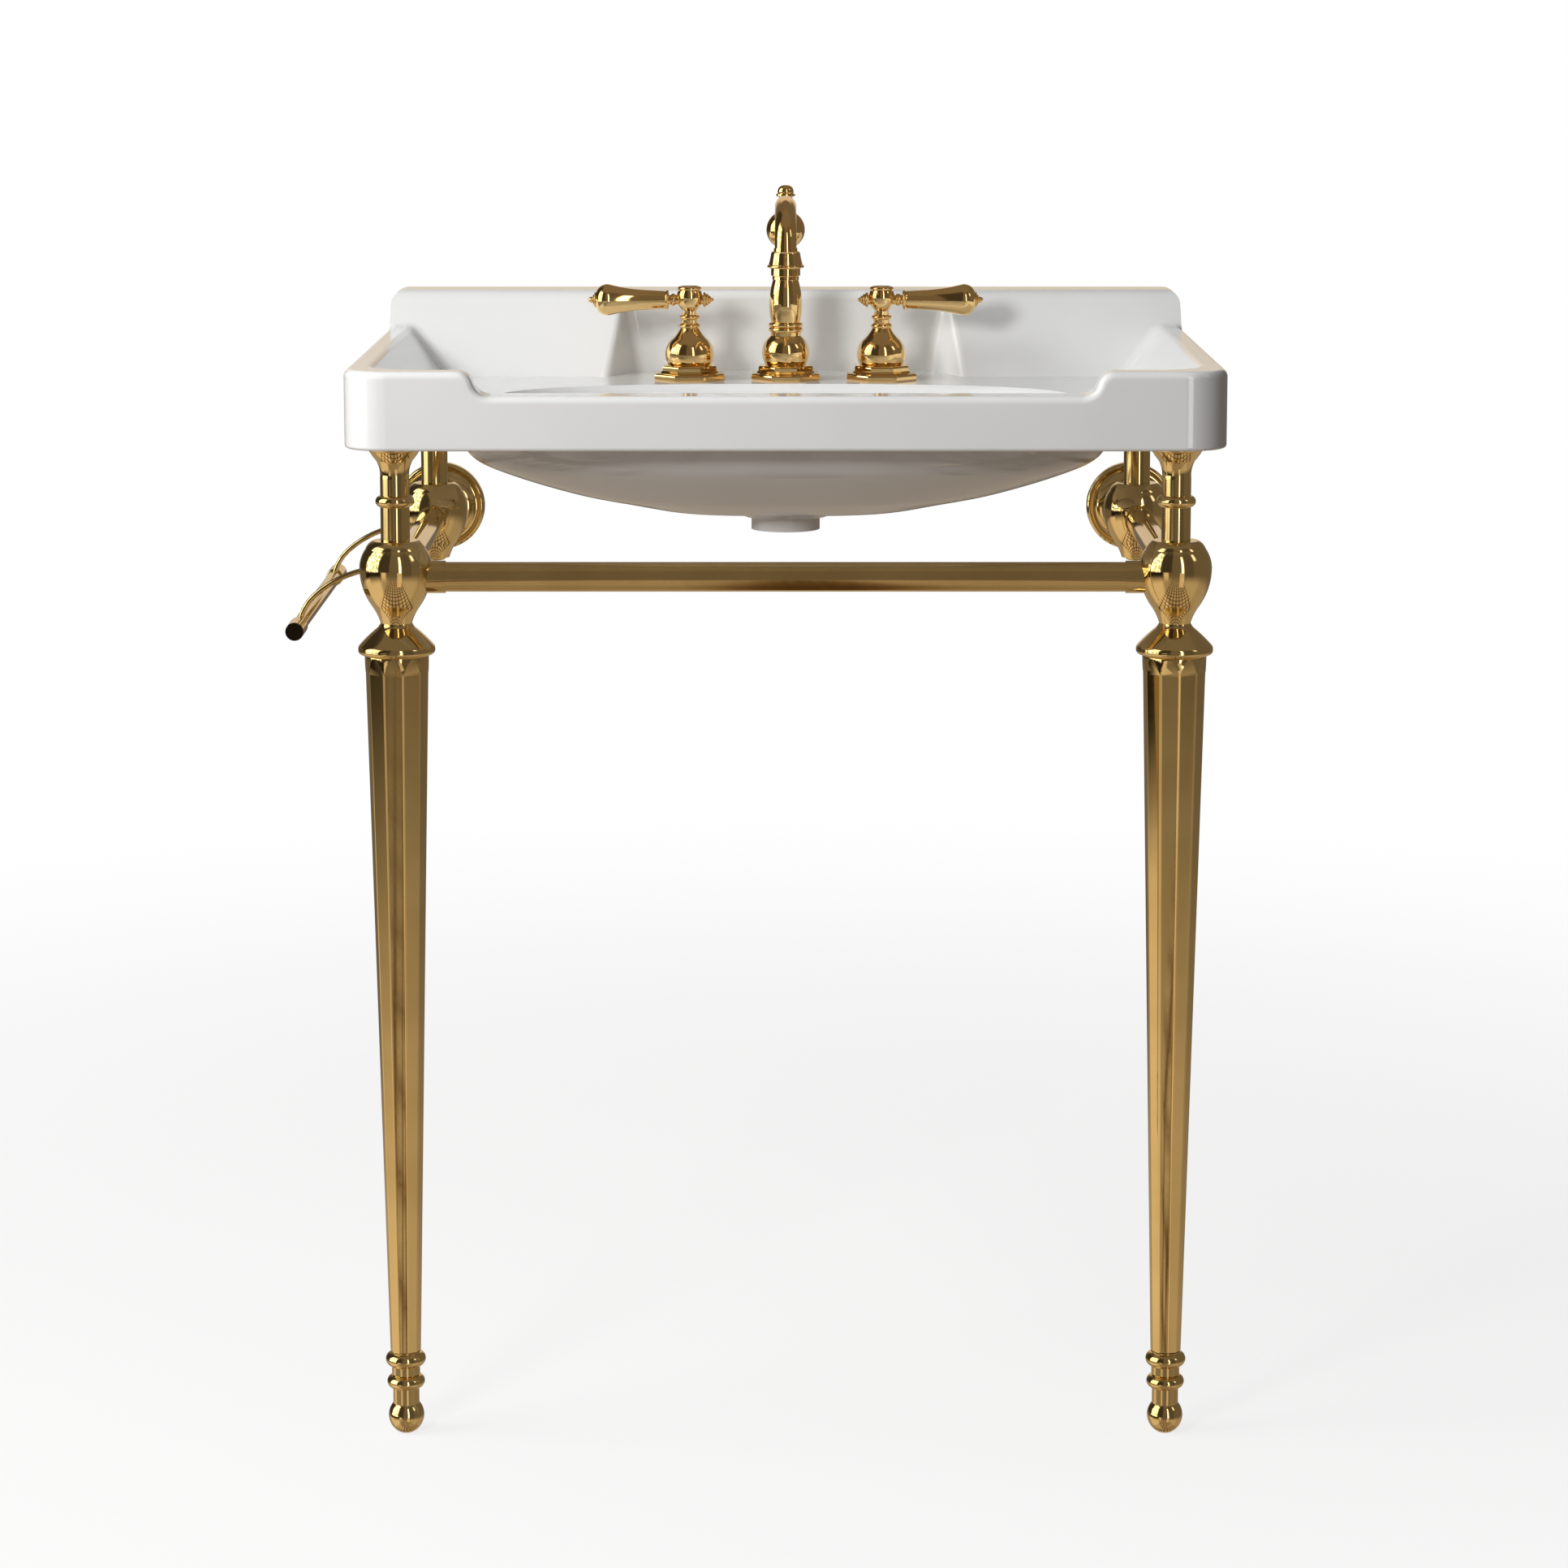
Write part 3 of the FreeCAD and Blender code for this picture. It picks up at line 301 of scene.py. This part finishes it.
def bar_end():
    """Brass cap with a dark bronze disc on the end that faces the front."""
    material = bpy.data.materials.new("bar_end")
    tree = Tree(material)
    where = tree.place()
    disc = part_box("towel_bar_caps")[0].y + DISC_THICK
    parts = tree.tree.nodes.new("ShaderNodeSeparateXYZ")
    plug(tree.tree, parts.inputs[0], where)
    behind = Value(tree.tree, parts.outputs[1]).math("GREATER_THAN", disc)
    wiping = tree.cloud(where, 140.0)
    colour = tree.blend(behind, DARK_BRONZE, tree.blend(wiping, LEG_BRASS, LEG_BRASS_DARK))
    surface(tree, colour, 0.20 - 0.14 * behind + 0.04 * wiping, metal=1.0)
    return material


def plain_metal(name, colour, rough):
    """Metal as machined or plated, with a fine grain."""
    material = bpy.data.materials.new(name)
    tree = Tree(material)
    where = tree.place()
    grain = tree.cloud(where, 700.0, detail=2.0)
    shade = tree.blend(grain.smooth(0.3, 0.7), colour, tuple(0.8 * part for part in colour))
    surface(tree, shade, rough + 0.12 * grain, tree.bump(grain, 0.08, 0.0003), metal=1.0)
    return material


def black_rubber():
    """Dull rubber of the washers under the deck."""
    material = bpy.data.materials.new("black_rubber")
    tree = Tree(material)
    grain = tree.cloud(tree.place(), 1200.0, detail=2.0)
    colour = tree.blend(grain, RUBBER, RUBBER_WORN)
    surface(tree, colour, 0.6 + 0.2 * grain, tree.bump(grain, 0.2, 0.0003))
    return material


MATERIALS = {
    "white_ceramic": glazed_white(),
    "leg_brass": polished("antique_brass", LEG_BRASS, LEG_BRASS_DARK, 0.035, 0.05),
    "tap_brass": polished("gold_brass", TAP_BRASS, TAP_BRASS_DARK, 0.03, 0.05),
    "bar_end": bar_end(),
    "plain_brass": plain_metal("machined_brass", MACHINED_BRASS, 0.28),
    "steel": plain_metal("zinc_plate", ZINC, 0.30),
    "rubber": black_rubber(),
}


def dress(piece, material):
    piece.data.materials.clear()
    piece.data.materials.append(material)


for part in frame["record"]["subparts"]:
    dress(frame["nodes"][part["node"]], MATERIALS[part["material_slot"]])


# ---- pieces finished here ---------------------------------------------------

def arm_points(y, height):
    """Middle line of one towel bar arm: two bends in a row, from level to steep."""
    here, heading = Vector((ARM_START_X, y, height)), 0.0
    points = [here.copy()]
    for radius, turn in ARM_BENDS:
        steps = round(turn / ARM_STEP)
        for _ in range(steps):
            heading += math.radians(0.5 * turn / steps)
            reach = 2.0 * radius * math.sin(math.radians(0.5 * turn / steps))
            here = here + Vector((-math.cos(heading), 0.0, -math.sin(heading))) * reach
            heading += math.radians(0.5 * turn / steps)
            points.append(here.copy())
    return points


def towel_arms():
    """The two thin arms as smooth round bars."""
    low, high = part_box("towel_bar_arms")
    rail_low, rail_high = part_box("front_rail")
    curve = bpy.data.curves.new("towel_arms", "CURVE")
    curve.dimensions = "3D"
    curve.bevel_depth = ARM_R
    curve.bevel_resolution = 7
    curve.use_fill_caps = True
    for y in (low.y + ARM_R, high.y - ARM_R):
        points = arm_points(y, 0.5 * (rail_low.z + rail_high.z))
        line = curve.splines.new("POLY")
        line.points.add(len(points) - 1)
        for spot, point in zip(line.points, points):
            spot.co = (*point, 1.0)
        line.use_smooth = True
    arms = bpy.data.objects.new("towel_arms", curve)
    bpy.context.scene.collection.objects.link(arms)
    bpy.ops.object.select_all(action="DESELECT")
    bpy.context.view_layer.objects.active = arms
    arms.select_set(True)
    bpy.ops.object.convert(target="MESH")
    finish_piece(bpy.context.object, "towel_bar_arms")


def finish_piece(piece, node):
    """Piece stands for a CAD node of the fixed body."""
    slot_name = next(part["material_slot"] for part in frame["record"]["subparts"] if part["node"] == node)
    dress(piece, MATERIALS[slot_name])
    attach(piece, "sink")
    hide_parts(node)


def softened(node):
    """Copy of a CAD node with its sharp edges rounded, as polishing leaves them."""
    source = frame["nodes"][node]
    piece = bpy.data.objects.new("soft_" + node, source.data.copy())
    bpy.context.scene.collection.objects.link(piece)
    piece.matrix_world = source.matrix_world.copy()
    bpy.ops.object.select_all(action="DESELECT")
    bpy.context.view_layer.objects.active = piece
    piece.select_set(True)
    bpy.ops.object.transform_apply(location=True, rotation=True, scale=True)
    bpy.ops.object.mode_set(mode="EDIT")
    bpy.ops.mesh.select_all(action="SELECT")
    bpy.ops.mesh.remove_doubles(threshold=SAME_POINT)
    bpy.ops.mesh.dissolve_limited(angle_limit=math.radians(FLAT_ANGLE))
    bpy.ops.object.mode_set(mode="OBJECT")
    bevel = piece.modifiers.new("round_edges", "BEVEL")
    bevel.width = SHAFT_EDGE
    bevel.segments = 5
    bevel.limit_method = "ANGLE"
    bevel.angle_limit = math.radians(SHARP_ANGLE)
    bpy.ops.object.modifier_apply(modifier="round_edges")
    bpy.ops.mesh.customdata_custom_splitnormals_clear()
    bpy.ops.object.shade_smooth_by_angle(angle=math.radians(SMOOTH_ANGLE))
    finish_piece(piece, node)


towel_arms()
for side in ("left", "right"):
    softened(side + "_leg_shaft")


# ---- floor, light and camera ----------------------------------------------

def floor():
    """Pale and plain; the camera sees it fade into the white background."""
    bpy.ops.mesh.primitive_plane_add(size=40.0, location=(0, 0, FLOOR))
    ground = bpy.context.object
    ground.name = "floor"
    ground.visible_glossy = False
    material = bpy.data.materials.new("pale_floor")
    tree = Tree(material)
    path = tree.tree.nodes.new("ShaderNodeLightPath")
    seen = Value(tree.tree, path.outputs["Is Camera Ray"])
    far = tree.add("VectorMath", {"operation": "LENGTH"}, output="Value", _0=tree.place()).smooth(0.5, 2.4)
    colour = tree.blend(seen, FLOOR_PAINT, FLOOR_SEEN)
    paint = tree.add("BsdfDiffuse", Color=colour)
    glow = tree.add("Emission", Color=WHITE, Strength=1.0)
    faded = tree.tree.nodes.new("ShaderNodeMixShader")
    plug(tree.tree, faded.inputs[0], seen * (0.80 + 0.20 * far))
    plug(tree.tree, faded.inputs[1], paint)
    plug(tree.tree, faded.inputs[2], glow)
    out = tree.tree.nodes.new("ShaderNodeOutputMaterial")
    tree.tree.links.new(faded.outputs[0], out.inputs[0])
    ground.data.materials.append(material)


def world():
    """White to the camera, a room with a window in reflections, and soft light elsewhere."""
    sky = bpy.data.worlds.new("studio")
    bpy.context.scene.world = sky
    tree = Tree(sky)
    path = tree.tree.nodes.new("ShaderNodeLightPath")
    camera = Value(tree.tree, path.outputs["Is Camera Ray"])
    glossy = Value(tree.tree, path.outputs["Is Glossy Ray"])
    passing = Value(tree.tree, path.outputs["Is Transmission Ray"])
    way = tree.add("TexCoord", output="Generated")
    parts = tree.tree.nodes.new("ShaderNodeSeparateXYZ")
    plug(tree.tree, parts.inputs[0], way)
    x, y, z = (Value(tree.tree, parts.outputs[index]) for index in range(3))
    around = x.math("ARCTAN2", y * -1.0) * (180.0 / math.pi)
    up = z.math("ARCSINE") * (180.0 / math.pi)

    def between(angle, low, high, soft):
        return angle.smooth(low - soft, low + soft) * (1.0 - angle.smooth(high - soft, high + soft))

    def patch(left, right, low, high, soft=3.0):
        """1 inside a patch of the room, with soft edges."""
        return between(around, left, right, soft) * between(up, low, high, soft)

    # Windows, with leaves outside the large one
    leaves = tree.cloud(way, 9.0, detail=3.0).smooth(0.42, 0.62)
    window = patch(*WINDOW)
    small_window = patch(*SMALL_WINDOW)
    strip = patch(*BRIGHT_STRIP, 1.5) + STRIP_FOOT_SHARE * patch(*STRIP_FOOT, 1.5)

    # Walls and ceiling
    shade = sum(loss * patch(*place) for loss, place in DARK_WALLS)
    lit_wall = LIT_WALL_GAIN * patch(*LIT_WALL, 2.0)
    walls = WALL_LEVEL - shade + lit_wall + CEILING_GAIN * up.smooth(44.0, 60.0)

    # Floor: brightest by the window, with a tiled patch in front of the sink
    under_sink = 1.0 - SINK_SHADOW * (1.0 - up.smooth(-80.0, -55.0))
    bright_floor = (FLOOR_LEVEL + FLOOR_WINDOW_GAIN * patch(*FLOOR_BY_WINDOW, 8.0)
                    + FLOOR_RIGHT_GAIN * patch(*FLOOR_RIGHT, 8.0))
    far_floor = 1.0 - up.smooth(-27.0, -12.0)
    by_window = 1.0 - around.smooth(-90.0, -87.0)
    on_floor = far_floor + by_window * ((1.0 - up.smooth(-18.5, -14.5)) - far_floor)
    height = (z * -1.0).math("MAXIMUM", 0.01)
    across, ahead = x / height, (y * -1.0) / height

    def joint_lines(value):
        """1 on the joints of square floor tiles."""
        part = (value * TILES_PER_HEIGHT).math("FRACT")
        return 1.0 - part.smooth(0.10, 0.24) * (1.0 - part.smooth(0.86, 0.98))

    rug = between(across, -0.85, 0.85, 0.05) * between(ahead, -0.60, 4.4, 0.05)
    tiles = rug * joint_lines(across).math("MAXIMUM", joint_lines(ahead))
    floor_level = bright_floor * under_sink * (1.0 + RUG_GAIN * rug) * (1.0 - JOINT_LOSS * tiles)

    # All of it together, in light and in colour
    indoors = walls + on_floor * (floor_level - walls)
    behind = BEHIND_LEVEL * (around.math("ABSOLUTE").smooth(158.0, 170.0)) * patch(*BEHIND_BASIN, 1.5)
    panes_light = (WINDOW_LIGHT * window * (0.30 + 0.70 * leaves) + SMALL_WINDOW_LIGHT * small_window
                   + STRIP_LIGHT * strip)
    reflected = indoors + panes_light + behind
    panes = window.math("MAXIMUM", small_window).math("MAXIMUM", strip)
    warm = tree.blend(tiles * on_floor, WARM_WALL, TILE_JOINT)
    outdoors = tree.blend(leaves, LEAF_GREEN, DAYLIGHT)
    room = tree.blend(panes, warm, tree.blend(window, DAYLIGHT, outdoors))
    white = camera.math("MAXIMUM", passing)
    soft_light = AMBIENT * (AMBIENT_LEFT - AMBIENT_FALL * x.smooth(-0.4, 0.7))
    strength = white + (1.0 - white) * (glossy * reflected + (1.0 - glossy) * soft_light)
    colour = tree.blend(glossy * (1.0 - white), WHITE, room)
    light = tree.add("Background", Color=colour, Strength=strength)
    out = tree.tree.nodes.new("ShaderNodeOutputWorld")
    tree.tree.links.new(light.socket, out.inputs[0])


def lamp(name, place, size, power):
    """Soft lamp that the brass doesn't mirror."""
    data = bpy.data.lights.new(name, "AREA")
    data.shape = "RECTANGLE"
    data.size, data.size_y = size
    data.energy = power
    holder = bpy.data.objects.new(name, data)
    bpy.context.scene.collection.objects.link(holder)
    holder.location = place
    holder.rotation_euler = (Vector(LAMP_AIM) - Vector(place)).to_track_quat("-Z", "Y").to_euler()
    holder.visible_glossy = False


def camera():
    """Sees the sink as the photo does."""
    data = bpy.data.cameras.new("camera")
    eye = bpy.data.objects.new("camera", data)
    bpy.context.scene.collection.objects.link(eye)
    principal_row = 0.5 * PHOTO_PIXELS + SHIFT * PHOTO_PIXELS
    tilt = math.atan((principal_row - HORIZON_ROW) / FOCAL_PIXELS)
    data.sensor_width = SENSOR
    data.lens = FOCAL_PIXELS / math.cos(tilt) / PHOTO_PIXELS * SENSOR
    data.shift_y = SHIFT
    data.shift_x = (0.5 * PHOTO_PIXELS - CENTRE_COLUMN) / PHOTO_PIXELS
    data.clip_end = VIEW_LIMIT
    eye.location = (0.0, BASIN_FRONT - EYE_DISTANCE, FLOOR + EYE_HEIGHT)
    eye.rotation_euler = (math.radians(90.0) - tilt, 0.0, 0.0)
    bpy.context.scene.camera = eye


floor()
world()
for settings in LAMPS:
    lamp(*settings)
camera()
bpy.context.scene.view_settings.view_transform = "Standard"
